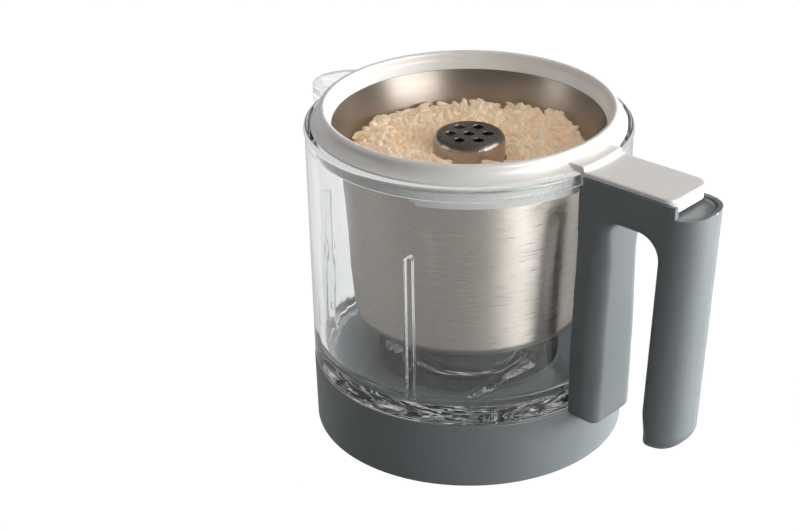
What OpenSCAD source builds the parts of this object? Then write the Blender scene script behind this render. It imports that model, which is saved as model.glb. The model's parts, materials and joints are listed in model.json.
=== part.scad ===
// Glass jug of a baby food steamer-blender with its lift-out grain cooking insert.
// Origin: centre of the base's underside. +Z up, +X along the handle, spout towards -X. Millimetres.

/* [Glass bowl] */
// Outer radius of the glass at its rim
rim_r = 70; // [69.5:0.1:70.3]
// Outer radius of the glass where it meets the base
foot_r = 68.5; // [68:0.1:68.6]
// Height of the glass rim above the table
rim_z = 140; // [139.6:0.1:140.2]
// Inner radius of the bowl at the rim
bore_top_r = 65.3; // [65.1:0.05:65.5]
// Inner radius of the bowl just above its floor
bore_foot_r = 63.9; // [63.4:0.1:64.2]
// Height of the bowl's inner floor
floor_z = 35.5; // [35.2:0.1:35.6]
// Number of upright ribs inside the wall
rib_count = 5; // [3:1:8]
// Height of the rib tops
rib_top_z = 106; // [90:1:112]
// Number of swirl vanes on the floor
vane_count = 3; // [2:1:4]
// Reach of the pouring spout from the bowl's axis
spout_reach = 86; // [83:0.5:88]

/* [Base] */
// Height of the grey base collar
collar_z = 30.6; // [30.4:0.1:30.6]
// Outer radius of the collar at its foot
collar_foot_r = 68.2; // [67.5:0.1:68.5]
// Height of the shelf that carries the glass
shelf_z = 28.2; // [28:0.1:28.2]
// Radius of the docking socket that drops onto the motor unit
socket_r = 34.2; // [34:0.1:34.4]

/* [Handle] */
// Height of the handle's side walls
wall_top_z = 139.1; // [138.5:0.1:139.1]
// Height of the rounded deck at the handle's end
deck_z = 134.2; // [134:0.1:134.6]
// Distance from the axis to the tip of the deck
handle_reach = 124.5; // [124:0.1:126]
// Height of the bridge's underside
bridge_z = 122; // [120:0.5:123]
// Height of the grip's free end
grip_end_z = 25; // [22:0.5:30]

/* [Grain insert] */
// Height of the ring's top edge
ring_top_z = 147.4; // [147:0.1:148]
// Outer radius of the ring at its top
ring_r = 63.5; // [63.2:0.1:64]
// Outer radius of the ring's foot, which lies on the glass rim
flange_r = 67; // [66.8:0.1:67.5]
// Height of the pot's outside bottom
pot_z = 53; // [52.6:0.1:55]
// Sheet thickness of the steel pot and chimney
sheet_t = 0.8; // [0.6:0.1:0.9]
// Outer radius of the steam chimney
chimney_r = 15.5; // [15:0.1:16]
// Height of the chimney's flat top
chimney_z = 134; // [130:0.5:136]
// Diameter of one steam hole
steam_hole_d = 4.8; // [4:0.1:5]

/* [Blade unit] */
// Radius swept by the blade tips
blade_r = 36; // [30:0.5:37]
// Radius of the blade shaft
shaft_r = 4; // [3.5:0.1:4.5]
// Thickness of one blade
blade_t = 1.2; // [1:0.1:1.3]

/* [Hidden] */
$fn = 96;
gap = 0.02; // air between pieces that sit together

charcoal = "#5d6264";
glass_z = collar_z + 0.1; // underside of the glass
bead_z = rim_z - 1.6; // lower edge of the glass rim's thicker lip
flange_z = rim_z + 0.1; // underside of the ring's foot
ledge_z = 132.95; // step in the bowl's wall under the ring's skirt
ledge_r = 64.6;
rib_r = 2; // half the width of an upright rib
rib_inner_r = 60.5; // reach of a rib towards the axis
vane_r = 2.7; // radius of a vane's half-round section
vane_offset = 33.8; // distance of a vane's line from the axis
vane_len = 54;
neck_r = 30; // glass neck under the floor
neck_bore_r = 27;
neck_end_z = 14;
neck_bead_h = 3;
neck_bead_r = 32.5;
hole_r = 13; // hole through the glass floor

spout_w = 14.6; // half the spout's outer width
spout_in_w = 10.4; // half the width of the pouring channel
spout_lip = 4; // glass between channel and tip
spout_top_z = 138.6; // upper side of the spout's tip
spout_z = 133.7; // underside of the spout's tip

collar_top_r = 68.7;
collar_t = 2.6;
collar_round = 0.8;
rim_lift = 0.6; // the feet hold the collar this far off the table
shelf_t = 2.2;
shelf_hole_r = 33.2;
post_pcd_r = 58; // cover screws and feet
post_z = 8; // top of the cover's screw posts
clamp_pcd_r = 41;
clamp_z = neck_end_z + neck_bead_h + 0.1;
clamp_t = 2.9;
clamp_boss_z = clamp_z + clamp_t + 0.1;
screw_r = 1.5;
head_r = 2.9;
head_h = 1.8;
pilot_r = screw_r + gap;
clear_r = 1.8;

glass_gap = 0.35; // between the glass and the handle
hw_top = 13.6; // half the handle's width at the top of the spine
hw_low = 15.3; // half its width at the foot of the spine
hw_end = 14.4; // half its width at the deck
end_depth = 13; // length of the deck's rounded end
end_power = 2.4; // fullness of the rounded end
end_x = handle_reach - end_depth;
bridge_x = 88; // from here outwards the handle widens to the deck
grip_tilt = 3.4; // lean of the grip, degrees
grip_inner_x = 108.2; // inner face of the grip at deck height
spine_x = 82.5; // outer face of the spine under the bridge
spine_tilt = 1.7;
spine_end_z = 25.3;
wall_end_x = 115.6; // end of the channel's side wall towards -Y
far_wall_end_x = 108; // end of the other side wall, under the tab
wall_t = 1.7;
shell_t = 2.4;
panel_z = 132.6; // seat of the top panel
bracket_x = 73;
bracket_t = 1.6;
bracket_hw = 7;
foot_hw = 9;
foot_in_x = 57.5;
foot_screw_x = 61;
foot_screw_y = 5.5;
leg_screw_z = [50, 98];
leg_top_z = 108;

tab_hw = 12.9; // half the width of the ring's tab
tab_end_x = 113.5;
tab_top_z = 141;
tab_t = 1.8;
core_hw = 10.9;
core_z = 135;
hook_r = 71.5; // outer radius of the tab's root, outside the glass
ridge_z = 143.2;
skirt_r = 64.9;
skirt_in_r = 62.6;
skirt_z = 133;
deep_z = 129.8; // lower edge of the skirt's deep segments
deep_r = 64.3;
seat_r = 58.3; // where the white ring meets the steel
seat_z = 140; // top of the pot's rolled rim
open_r = 60.6; // ring opening at the top
mouth_r = 42; // radius of the bend by which the pot's wall flares to its mouth

housing_r = 17.5;
housing_top_z = 39.4;
stem_r = 11.5;
stem_end_z = 18.2;
bush_r = 7;
hub_z = 40.5;
lower_blade_z = 42;
upper_blade_z = 45.5;
cap_top_z = 58;
shaft_end_z = 12;
coupler_z = 5;
coupler_h = 12;
coupler_r = 10;
nut_z = 22;
nut_r = 22;
washer_t = 0.9;

// Points along an arc in the plane
function arc(cx, cy, r, a0, a1, n = 8) =
  [for (i = [0:n]) let (a = a0 + (a1 - a0) * i / n) [cx + r * cos(a), cy + r * sin(a)]];

// Points of a superellipse's right half, from -90 to 90 degrees
function full_end(cx, a, b, p, n = 20) =
  [for (i = [0:n]) let (t = -90 + 180 * i / n)
    [cx + a * pow(cos(t), 2 / p), b * sign(sin(t)) * pow(abs(sin(t)), 2 / p)]];

// Places children at count equal steps on a circle
module around(r, count, first = 0) {
  for (i = [0:count - 1]) rotate([0, 0, first + 360 * i / count]) translate([r, 0, 0]) children();
}

// Tube between two radii
module tube(r_out, r_in, z0, z1) {
  translate([0, 0, z0]) difference() {
    cylinder(r = r_out, h = z1 - z0);
    translate([0, 0, -1]) cylinder(r = r_in, h = z1 - z0 + 2);
  }
}

// Pan-head screw, head downwards, head's seat at z = 0
module screw(length) {
  translate([0, 0, -head_h]) cylinder(r = head_r, h = head_h);
  cylinder(r = screw_r, h = length);
}

// ---------------------------------------------------------------- glass bowl

module bowl_profile() {
  fillet_r = 9;
  lip_r = 1.4;
  polygon(concat(
    [[hole_r, glass_z], [neck_bore_r, glass_z], [neck_bore_r, neck_end_z]],
    [[neck_bead_r, neck_end_z], [neck_bead_r, neck_end_z + neck_bead_h]],
    [[neck_r, neck_end_z + neck_bead_h], [neck_r, glass_z]],
    arc(foot_r - 0.8, glass_z + 0.8, 0.8, -90, 0, 4),
    [[rim_r - 0.5, bead_z - 0.4], [rim_r, bead_z]],
    arc(rim_r - lip_r, rim_z - lip_r, lip_r, 0, 90),
    arc(bore_top_r + lip_r, rim_z - lip_r, lip_r, 90, 180),
    [[bore_top_r - 0.1, ledge_z], [ledge_r, ledge_z], [bore_foot_r, floor_z + fillet_r]],
    arc(bore_foot_r - fillet_r, floor_z + fillet_r, fillet_r, 0, -90, 10),
    [[hole_r, floor_z]]
  ));
}

// Upright rib with a rounded nose and an arched top
module rib() {
  nose_x = rib_inner_r + rib_r;
  root_x = bore_foot_r + 2;
  arch_r = rib_r + 0.1;
  intersection() {
    translate([0, 0, floor_z - 1]) linear_extrude(100)
      polygon(concat(arc(nose_x, 0, rib_r, 90, 270, 10), [[root_x, -rib_r], [root_x, rib_r]]));
    rotate([90, 0, 90]) linear_extrude(100)
      polygon(concat(arc(0, rib_top_z - rib_r, arch_r, 0, 180, 10), [[-arch_r, 20], [arch_r, 20]]));
  }
}

// Half-round swirl vane on the floor, running along a line beside the axis
module vane() {
  start_y = -sqrt(bore_foot_r * bore_foot_r - vane_offset * vane_offset) - 1;
  translate([vane_offset, start_y + vane_len, floor_z]) rotate([90, 0, 0]) linear_extrude(vane_len)
    polygon(concat(arc(0, 0, vane_r, 0, 180, 12), [[-vane_r, -1], [vane_r, -1]]));
}

// Plan outline of the spout: a slot with a round tip
module spout_plan(half_w, reach) {
  polygon(concat([[-60, half_w]], arc(-(reach - half_w), 0, half_w, 90, 270, 18), [[-60, -half_w]]));
}

// Lip of glass that leaves the bowl's wall below the rim and droops a little to its round tip
module spout_body() {
  root_z = 125;
  top_z = rim_z - 0.3;
  past_tip = -spout_reach - 1;
  top_edge = [[-66, top_z], [-rim_r, top_z], [past_tip, spout_top_z]];
  low_edge = [[past_tip, spout_z + 0.8], [-spout_reach + 1.5, spout_z], [-69.3, root_z], [-66, root_z]];
  intersection() {
    translate([0, 0, 120]) linear_extrude(30) spout_plan(spout_w, spout_reach);
    rotate([90, 0, 0]) linear_extrude(60, center = true) polygon(concat(top_edge, low_edge));
  }
}

// Channel that runs out through the wall and rises to the tip
module spout_channel() {
  tip_x = -(spout_reach - spout_lip);
  bed = [[tip_x - 3, spout_top_z + 3], [tip_x + 1.5, spout_top_z - 1.4], [-70, 134.2], [-60, 133.4]];
  intersection() {
    translate([0, 0, 120]) linear_extrude(40) spout_plan(spout_in_w, spout_reach - spout_lip);
    rotate([90, 0, 0]) linear_extrude(60, center = true)
      polygon(concat([[tip_x - 3, 150]], bed, [[-60, 150]]));
  }
}

module glass_bowl() {
  color("#dfe8ea", 0.35) difference() {
    union() {
      rotate_extrude() bowl_profile();
      difference() {
        spout_body();
        cylinder(r = bore_top_r + 0.6, h = 200);
      }
      for (i = [0:rib_count - 1]) rotate([0, 0, 360 * i / rib_count]) rib();
      for (i = [0:vane_count - 1]) rotate([0, 0, 360 * i / vane_count]) vane();
    }
    spout_channel();
  }
}

// ---------------------------------------------------------------- base

module bowl_gasket() {
  color("#2f3132") tube(40, 34, shelf_z, glass_z);
}

module collar_profile() {
  polygon(concat(
    [[collar_foot_r - collar_t, rim_lift]],
    arc(collar_foot_r - collar_round, rim_lift + collar_round, collar_round, -90, 0),
    arc(collar_top_r - 0.5, collar_z - 0.5, 0.5, 0, 90, 4),
    [[collar_top_r - collar_t, collar_z], [collar_top_r - collar_t, shelf_z]],
    [[shelf_hole_r, shelf_z], [shelf_hole_r, shelf_z - shelf_t]],
    [[collar_foot_r - collar_t, shelf_z - shelf_t]]
  ));
}

module base_collar() {
  shelf_under_z = shelf_z - shelf_t;
  color(charcoal) difference() {
    union() {
      rotate_extrude() collar_profile();
      translate([0, 0, post_z + 0.1]) around(post_pcd_r, 4, 45)
        cylinder(r = 4, h = shelf_under_z - post_z);
      translate([0, 0, clamp_boss_z]) around(clamp_pcd_r, 4, 45)
        cylinder(r = 3.6, h = shelf_under_z - clamp_boss_z);
    }
    around(post_pcd_r, 4, 45) cylinder(r = pilot_r, h = 19);
    around(clamp_pcd_r, 4, 45) cylinder(r = pilot_r, h = 26.6);
    translate([64, -foot_hw - 0.3, shelf_z]) cube([8, 2 * foot_hw + 0.6, 5]);
    for (y = [-foot_screw_y, foot_screw_y]) translate([foot_screw_x, y, 20]) cylinder(r = clear_r, h = 15);
  }
}

// L-shaped slot that locks the socket on the motor unit's lugs
module bayonet_slot() {
  slot_w = 6;
  translate([socket_r - 1, -slot_w / 2, 0]) cube([5, slot_w, 9]);
  rotate_extrude(angle = 14) translate([socket_r - 1, 5]) square([5, 4]);
}

module base_cover() {
  plate_r = collar_foot_r - collar_t - 0.1;
  color("#4e5355") difference() {
    union() {
      tube(plate_r, socket_r, rim_lift, 3);
      tube(socket_r + 2.4, socket_r, rim_lift, 12);
      around(post_pcd_r, 4, 45) translate([0, 0, rim_lift]) cylinder(r = 5, h = post_z - rim_lift);
    }
    for (i = [0:2]) rotate([0, 0, 120 * i + 30]) bayonet_slot();
    around(post_pcd_r, 4, 45) cylinder(r = head_r + 0.3, h = 5.5);
    around(post_pcd_r, 4, 45) cylinder(r = clear_r, h = 20);
    around(post_pcd_r, 4) cylinder(r = 6.05, h = 2);
  }
}

module cover_screws() {
  color("silver") around(post_pcd_r, 4, 45) translate([0, 0, 5.5]) screw(10);
}

module anti_slip_feet() {
  color("#2f3132") around(post_pcd_r, 4) {
    cylinder(r1 = 5.6, r2 = 6, h = 0.4);
    translate([0, 0, 0.4]) cylinder(r = 6, h = 1.6 - gap);
  }
}

module bowl_clamp() {
  color("#4e5355") difference() {
    tube(46, neck_r + 0.25, clamp_z, clamp_z + clamp_t);
    translate([-60, -0.5, clamp_z - 1]) cube([120, 1, clamp_t + 2]);
    around(clamp_pcd_r, 4, 45) cylinder(r = clear_r, h = 60);
  }
}

module clamp_screws() {
  color("silver") around(clamp_pcd_r, 4, 45) translate([0, 0, clamp_z]) screw(9);
}

// ---------------------------------------------------------------- handle

// Side view of the handle's outside, x along the handle and y up
module handle_side() {
  lean = tan(grip_tilt);
  out_low_x = handle_reach - (deck_z - grip_end_z) * lean + 0.4;
  in_low_x = grip_inner_x - (deck_z - grip_end_z) * lean;
  in_top_x = grip_inner_x - (deck_z - bridge_z + 10) * lean;
  spine_low_x = spine_x - (bridge_z - spine_end_z) * tan(spine_tilt);
  outer_r = 7;
  inner_r = 4;
  polygon(concat(
    [[60, wall_top_z], [wall_end_x, wall_top_z], [wall_end_x, deck_z], [handle_reach + 0.4, deck_z]],
    arc(out_low_x - outer_r, grip_end_z + outer_r, outer_r, 0, -90),
    arc(in_low_x + inner_r, grip_end_z + inner_r, inner_r, -90, -180),
    arc(in_top_x - 10, bridge_z - 10, 10, 0, 90, 10),
    arc(spine_x + 5, bridge_z - 5, 5, 90, 180),
    arc(spine_low_x - 2.5, spine_end_z + 2.5, 2.5, 0, -90),
    [[60, spine_end_z]]
  ));
}

// Plan outline of the hook from the bridge outwards, shrunk by inset
module hook_plan(inset, start_x) {
  start_w = hw_top - inset - 0.05; // just inside the spine's sides
  polygon(concat(
    [[start_x, start_w], [start_x, -start_w], [bridge_x, -start_w]],
    full_end(end_x, end_depth - inset, hw_end - inset, end_power),
    [[bridge_x, start_w]]
  ));
}

// Plan outline of the grip's hollow: flat inside, full round outside
module grip_hollow_plan() {
  inset = shell_t + 1;
  half_w = hw_end - inset;
  x0 = grip_inner_x + shell_t;
  polygon(concat([[x0, half_w], [x0, -half_w]], full_end(end_x, end_depth - inset, half_w, end_power)));
}

// Front outline of the spine, wider at its foot
module spine_front(inset) {
  flare = hw_low - hw_top;
  bend = [for (i = [0:10]) let (t = i / 10) [hw_low - flare * (3 * t * t - 2 * t * t * t), 58 + 54 * t]];
  foot_w = hw_low - inset - 3;
  polygon(concat(
    [[foot_w, 0], [foot_w, spine_end_z], [hw_low - inset, spine_end_z + 3]],
    [for (p = bend) [p[0] - inset, p[1]]],
    [[hw_top - inset, 150], [-(hw_top - inset), 150]],
    [for (i = [10:-1:0]) [-(bend[i][0] - inset), bend[i][1]]],
    [[-(hw_low - inset), spine_end_z + 3], [-foot_w, spine_end_z], [-foot_w, 0]]
  ));
}

// Leans a shape about a cross axis at the given place
module leaned(pivot_x, pivot_z, angle) {
  translate([pivot_x, 0, pivot_z]) rotate([0, angle, 0]) translate([-pivot_x, 0, -pivot_z]) children();
}

// Outside of the whole handle before the glass and the hollows are taken away
module handle_outside() {
  intersection() {
    rotate([90, 0, 0]) linear_extrude(60, center = true) handle_side();
    union() {
      translate([50, 0, 0]) rotate([90, 0, 90]) linear_extrude(bridge_x - 50) spine_front(0);
      leaned(handle_reach, deck_z, grip_tilt) linear_extrude(170) hook_plan(0, bridge_x - 3);
    }
  }
}

// What rounds off one long outer edge of the spine
module spine_edge_cutter() {
  corner = 7;
  cx = spine_x - corner;
  cy = hw_low - corner;
  leaned(spine_x, bridge_z, spine_tilt) linear_extrude(bridge_z - 6)
    polygon(concat(arc(cx, cy, corner, 0, 90, 6), [[cx, cy + 12], [cx + 12, cy + 12], [cx + 12, cy]]));
}

// Space taken by the glass and the collar behind the handle
module glass_space(extra) {
  low_r = collar_top_r + glass_gap + extra;
  top_r = rim_r + glass_gap + extra;
  rotate_extrude()
    polygon([[0, 0], [low_r, 0], [low_r, collar_z], [top_r, bead_z], [top_r, 170], [0, 170]]);
}

module handle_shell() {
  hollow_x = bracket_x - 6;
  color(charcoal) difference() {
    handle_outside();
    glass_space(0);
    // channel and deck recess that the panel and the tab lie in
    translate([0, 0, panel_z]) linear_extrude(20) hook_plan(wall_t + 0.4, 60);
    translate([0, 0, core_z]) cylinder(r = hook_r + 0.5, h = 20);
    translate([far_wall_end_x, 5, deck_z]) cube([20, 20, 20]);
    // hollow grip and bridge
    leaned(handle_reach, deck_z, grip_tilt) translate([0, 0, grip_end_z + 5])
      linear_extrude(panel_z + 1 - grip_end_z - 5) grip_hollow_plan();
    spine_edge_cutter();
    mirror([0, 1, 0]) spine_edge_cutter();
    translate([88, -9.5, bridge_z + shell_t]) cube([grip_inner_x + 5 - 88, 19, 20]);
    // hollow spine, open towards the glass, with a boss for each bracket screw
    difference() {
      intersection() {
        translate([hollow_x, 0, 0]) rotate([90, 0, 90])
          linear_extrude(spine_x - 6 - hollow_x) spine_front(shell_t);
        translate([50, -30, spine_end_z + 6]) cube([60, 60, bridge_z - 2 - spine_end_z - 6]);
      }
      for (z = leg_screw_z) translate([bracket_x + bracket_t + 0.05, 0, z]) rotate([0, 90, 0])
        cylinder(r = 4, h = 10);
    }
    for (z = leg_screw_z) translate([bracket_x, 0, z]) rotate([0, 90, 0]) cylinder(r = pilot_r, h = 5.4);
    translate([60, -foot_hw - 0.3, shelf_z]) cube([bracket_x + bracket_t + 0.3 - 60, 2 * foot_hw + 0.6, 4]);
  }
}

module handle_inset() {
  top_z = deck_z - 0.4;
  color("#6b7173") difference() {
    union() {
      translate([0, 0, panel_z + gap]) linear_extrude(top_z - panel_z) hook_plan(wall_t + 1.1, 60);
      translate([92, -4, bridge_z + shell_t + gap]) cube([8, 8, panel_z - bridge_z - shell_t]);
    }
    cylinder(r = hook_r + 1.1, h = 200);
    translate([0, 0, top_z - 0.4]) linear_extrude(5) hook_plan(wall_t + 2, 60);
  }
}

module spine_cover() {
  color("#4e5355") intersection() {
    difference() {
      glass_space(1.7);
      glass_space(0.1);
    }
    rotate([90, 0, 90]) linear_extrude(120) spine_front(shell_t + 0.15);
    translate([50, -30, 32]) cube([60, 60, bridge_z - 2.3 - 32]);
  }
}

module handle_bracket() {
  z0 = shelf_z + gap;
  color("silver") difference() {
    union() {
      translate([bracket_x, -bracket_hw, z0]) cube([bracket_t, 2 * bracket_hw, leg_top_z - z0]);
      translate([foot_in_x, -foot_hw, z0])
        cube([bracket_x + bracket_t - foot_in_x, 2 * foot_hw, bracket_t]);
    }
    for (y = [-foot_screw_y, foot_screw_y]) translate([foot_screw_x, y, z0 - 1])
      cylinder(r = pilot_r, h = 5);
    for (z = leg_screw_z) translate([bracket_x - 1, 0, z]) rotate([0, 90, 0]) cylinder(r = clear_r, h = 5);
  }
}

module bracket_screws() {
  low_z = shelf_z - shelf_t;
  color("silver") {
    for (y = [-foot_screw_y, foot_screw_y]) translate([foot_screw_x, y, low_z]) screw(4.2);
    for (z = leg_screw_z) translate([bracket_x, 0, z]) rotate([0, 90, 0]) {
      translate([0, 0, -0.8]) cylinder(r = head_r, h = 0.8);
      cylinder(r = screw_r, h = 5.3);
    }
  }
}

// ---------------------------------------------------------------- blade unit

module bearing_housing() {
  dome = 1.4;
  color("#3a3c3d") rotate_extrude() polygon(concat(
    [[bush_r + gap, stem_end_z], [stem_r, stem_end_z], [stem_r, floor_z + 1.02]],
    [[housing_r, floor_z + 1.02], [housing_r, housing_top_z - dome]],
    arc(housing_r - dome, housing_top_z - dome, dome, 0, 90),
    [[8 + gap, housing_top_z], [8 + gap, 35.5], [bush_r + gap, 35.5]]
  ));
}

module housing_gasket() {
  color("#2f3132") tube(17, stem_r + 0.1, floor_z + gap, floor_z + 1);
}

module upper_bush() {
  color("#b08d57") tube(bush_r, shaft_r + 0.04, 28, 35.4);
}

module lower_bush() {
  color("#b08d57") tube(bush_r, shaft_r + 0.04, 18.4, 25.4);
}

module shaft_seal() {
  color("#2f3132") tube(8, shaft_r + 0.04, 35.55, housing_top_z - 0.1);
}

module blade_shaft() {
  groove_r = shaft_r - 0.5;
  color("silver") difference() {
    union() {
      translate([0, 0, shaft_end_z]) cylinder(r = shaft_r, h = 55.4 - shaft_end_z);
      translate([0, 0, 55.4]) cylinder(r1 = shaft_r, r2 = shaft_r - 0.6, h = 0.6);
    }
    tube(shaft_r + 1, groove_r, 17.3, 18.1);
  }
}

module thrust_washer() {
  color("#3a3c3d") tube(9, shaft_r + gap, housing_top_z + 0.05, hub_z - 0.05);
}

module blade_hub() {
  color("silver") tube(10, shaft_r + gap, hub_z, lower_blade_z - gap);
}

// One blade wing: swept cutting edge in front, straight back
module wing_plan() {
  polygon(concat(
    [[0, -5.5], [blade_r * 0.45, -6]],
    [for (i = [0:10]) let (t = i / 10) [blade_r * (0.45 + 0.55 * t), -6 + 9 * t * t]],
    [[blade_r * 0.97, 5], [blade_r * 0.6, 6.2], [0, 5.5]]
  ));
}

// Two-winged blade: flat middle, wings bent by angle
module blade(angle) {
  bend_x = 10;
  difference() {
    union() {
      cylinder(r = 9.5, h = blade_t);
      for (a = [0, 180]) rotate([0, 0, a]) {
        intersection() {
          linear_extrude(blade_t) wing_plan();
          translate([-1, -20, -5]) cube([bend_x + 1, 40, 20]);
        }
        translate([bend_x, 0, 0]) rotate([0, -angle, 0]) translate([-bend_x, 0, 0]) intersection() {
          linear_extrude(blade_t) wing_plan();
          translate([bend_x - 0.1, -20, -5]) cube([60, 40, 20]);
        }
      }
    }
    translate([0, 0, -1]) cylinder(r = shaft_r + gap, h = 5);
  }
}

module lower_blade() {
  color("silver") translate([0, 0, lower_blade_z]) blade(-3);
}

module blade_spacer() {
  color("silver") tube(9, shaft_r + gap, lower_blade_z + blade_t + gap, upper_blade_z - gap);
}

module upper_blade() {
  color("silver") translate([0, 0, upper_blade_z]) rotate([0, 0, 90]) blade(8);
}

module hub_cap() {
  z0 = upper_blade_z + blade_t + gap;
  color("#3a3c3d") difference() {
    rotate_extrude() polygon(concat(
      [[0, z0], [9.5, z0]],
      arc(9.5 - 4, cap_top_z - 4, 4, 0, 90),
      [[0, cap_top_z]]
    ));
    translate([0, 0, z0 - 1]) cylinder(r = shaft_r + gap, h = 56.3 - z0 + 1);
  }
}

module circlip() {
  color("silver") difference() {
    tube(6, shaft_r - 0.5 + gap, 17.4, 18);
    translate([0, -1.2, 17]) cube([10, 2.4, 2]);
  }
}

module drive_coupler() {
  color("#3a3c3d") difference() {
    union() {
      translate([0, 0, coupler_z]) cylinder(r = coupler_r, h = coupler_h);
      around(coupler_r - 0.3, 6) translate([0, 0, coupler_z]) cylinder(r = 1.6, h = coupler_h - 2);
    }
    translate([0, 0, shaft_end_z - gap]) cylinder(r = shaft_r + gap, h = 20);
    translate([0, 0, coupler_z - 1]) cylinder(r = 5, h = 7);
    translate([0, 0, coupler_z - 1]) around(5, 6) cylinder(r = 1.8, h = 7);
  }
}

module nut_washer() {
  color("#3a3c3d") tube(nut_r, stem_r + 0.08, glass_z - 0.05 - washer_t, glass_z - 0.05);
}

module retaining_nut() {
  top_z = glass_z - 0.05 - washer_t - gap;
  color("#3a3c3d") union() {
    tube(nut_r, stem_r + 0.08, top_z - 2, top_z);
    tube(16, stem_r + 0.08, nut_z, top_z);
    difference() {
      around(18.5, 6) translate([-3, -1.2, nut_z + 1]) cube([6, 2.4, top_z - nut_z - 2]);
      translate([0, 0, nut_z]) cylinder(r = stem_r + 1, h = 20);
    }
  }
}

// ---------------------------------------------------------------- grain insert

// Outside of the pot's wall, from the bottom corner up to its flared mouth at top, moved inwards by t
function pot_wall(t, top) = concat(
  arc(50.3 - 6, pot_z + 6, 6 - t, -90, -5, 8),
  [[51.5 - t, 80]],
  arc(54.3 + mouth_r - t, 121, mouth_r, 177, 180 - asin((top - 121) / mouth_r), 8)
);

module insert_pot() {
  outer = pot_wall(0, seat_z - sheet_t);
  inner = pot_wall(sheet_t, seat_z - gap);
  count = len(inner);
  hole = chimney_r - sheet_t;
  rim_flange_r = 62.3;
  color("#a79f97") rotate_extrude() polygon(concat(
    [[hole, pot_z]],
    outer,
    [[rim_flange_r, seat_z - sheet_t], [rim_flange_r, seat_z - gap]],
    [for (i = [count - 1:-1:0]) inner[i]],
    [[hole, pot_z + sheet_t]]
  ));
}

module steam_chimney() {
  shoulder = 3;
  in_r = chimney_r - sheet_t;
  flange_z = pot_z + sheet_t + gap;
  color("#a79f97") difference() {
    rotate_extrude() polygon(concat(
      [[in_r, flange_z], [20, flange_z], [20, flange_z + sheet_t], [chimney_r + 0.4, flange_z + sheet_t]],
      [[chimney_r, flange_z + sheet_t + 0.4]],
      arc(chimney_r - shoulder, chimney_z - shoulder, shoulder, 0, 90),
      [[0, chimney_z], [0, chimney_z - sheet_t]],
      arc(chimney_r - shoulder, chimney_z - shoulder, shoulder - sheet_t, 90, 0)
    ));
    translate([0, 0, chimney_z - 5]) cylinder(d = steam_hole_d, h = 10);
    translate([0, 0, chimney_z - 5]) around(8.04, 6, 40) cylinder(d = steam_hole_d, h = 10);
  }
}

// One of the skirt's two deep segments, its ends stepped
module deep_segment() {
  span = 60;
  rotate([0, 0, -69]) rotate_extrude(angle = span) translate([skirt_in_r, deep_z])
    square([deep_r - skirt_in_r, skirt_z - deep_z + 0.5]);
  rotate([0, 0, -71]) rotate_extrude(angle = span + 4) translate([skirt_in_r, deep_z + 1.7])
    square([deep_r - skirt_in_r, skirt_z - deep_z]);
}

module ring_body() {
  round_r = 1.3;
  flare_r = 4.4; // hollow curve from the ring's wall out to its foot
  rotate_extrude() polygon(concat(
    [[seat_r, seat_z], [skirt_in_r, seat_z], [skirt_in_r, skirt_z], [skirt_r, skirt_z], [skirt_r, 134.8]],
    [[skirt_r - 0.7, 134.8], [skirt_r - 0.7, 136.8], [skirt_r, 136.8], [skirt_r, flange_z]],
    [[flange_r, flange_z], [flange_r, flange_z + 0.8]],
    arc(ring_r + flare_r, ring_top_z - 2.2, flare_r, 253, 180),
    arc(ring_r - round_r, ring_top_z - round_r, round_r, 0, 90),
    arc(open_r + 0.8, ring_top_z - 0.8, 0.8, 90, 180, 4),
    [[open_r - 0.3, seat_z + 4]]
  ));
}

// Tab that lies on the handle: ridge over the glass rim, plate over the walls, core between them
module tab() {
  plate_z = tab_top_z - tab_t;
  intersection() {
    union() {
      tube(hook_r, ring_r - 1.5, rim_z + 0.2, ridge_z);
      tube(hook_r, rim_r + 0.3, core_z + 1, ridge_z);
    }
    translate([50, -tab_hw, 120]) cube([40, 2 * tab_hw, 40]);
  }
  difference() {
    union() {
      translate([0, 0, plate_z]) linear_extrude(tab_t) tab_plan(tab_hw, 4.5);
      translate([0, 0, core_z]) linear_extrude(plate_z + 1 - core_z) tab_plan(core_hw, 3.5);
    }
    cylinder(r = rim_r + 0.3, h = 200);
  }
}

module tab_plan(half_w, corner) {
  polygon(concat(
    [[66, half_w], [66, -half_w]],
    arc(tab_end_x - corner, -half_w + corner, corner, -90, 0, 6),
    arc(tab_end_x - corner, half_w - corner, corner, 0, 90, 6)
  ));
}

module insert_ring() {
  color("#ecebe6") union() {
    ring_body();
    deep_segment();
    rotate([0, 0, 180]) deep_segment();
    tab();
  }
}

module ring_clamp() {
  color("#ecebe6") tube(skirt_in_r - gap, 59.2, 137, seat_z - sheet_t - gap);
}

module ring_seal() {
  color("#f4f3ef") tube(skirt_r + 0.2, skirt_r - 0.7 + gap, 134.85, 136.75);
}

glass_bowl();
bowl_gasket();
base_collar();
base_cover();
cover_screws();
anti_slip_feet();
bowl_clamp();
clamp_screws();
handle_shell();
handle_inset();
spine_cover();
handle_bracket();
bracket_screws();
bearing_housing();
housing_gasket();
upper_bush();
lower_bush();
shaft_seal();
blade_shaft();
thrust_washer();
blade_hub();
lower_blade();
blade_spacer();
upper_blade();
hub_cap();
circlip();
drive_coupler();
nut_washer();
retaining_nut();
insert_pot();
steam_chimney();
insert_ring();
ring_clamp();
ring_seal();
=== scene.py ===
"""Looks of a baby food maker's glass jug with its steel grain insert.

Sizes in mm become metres through MM. Angles run from +X, where the handle is, towards +Y."""

import json
import math

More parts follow.
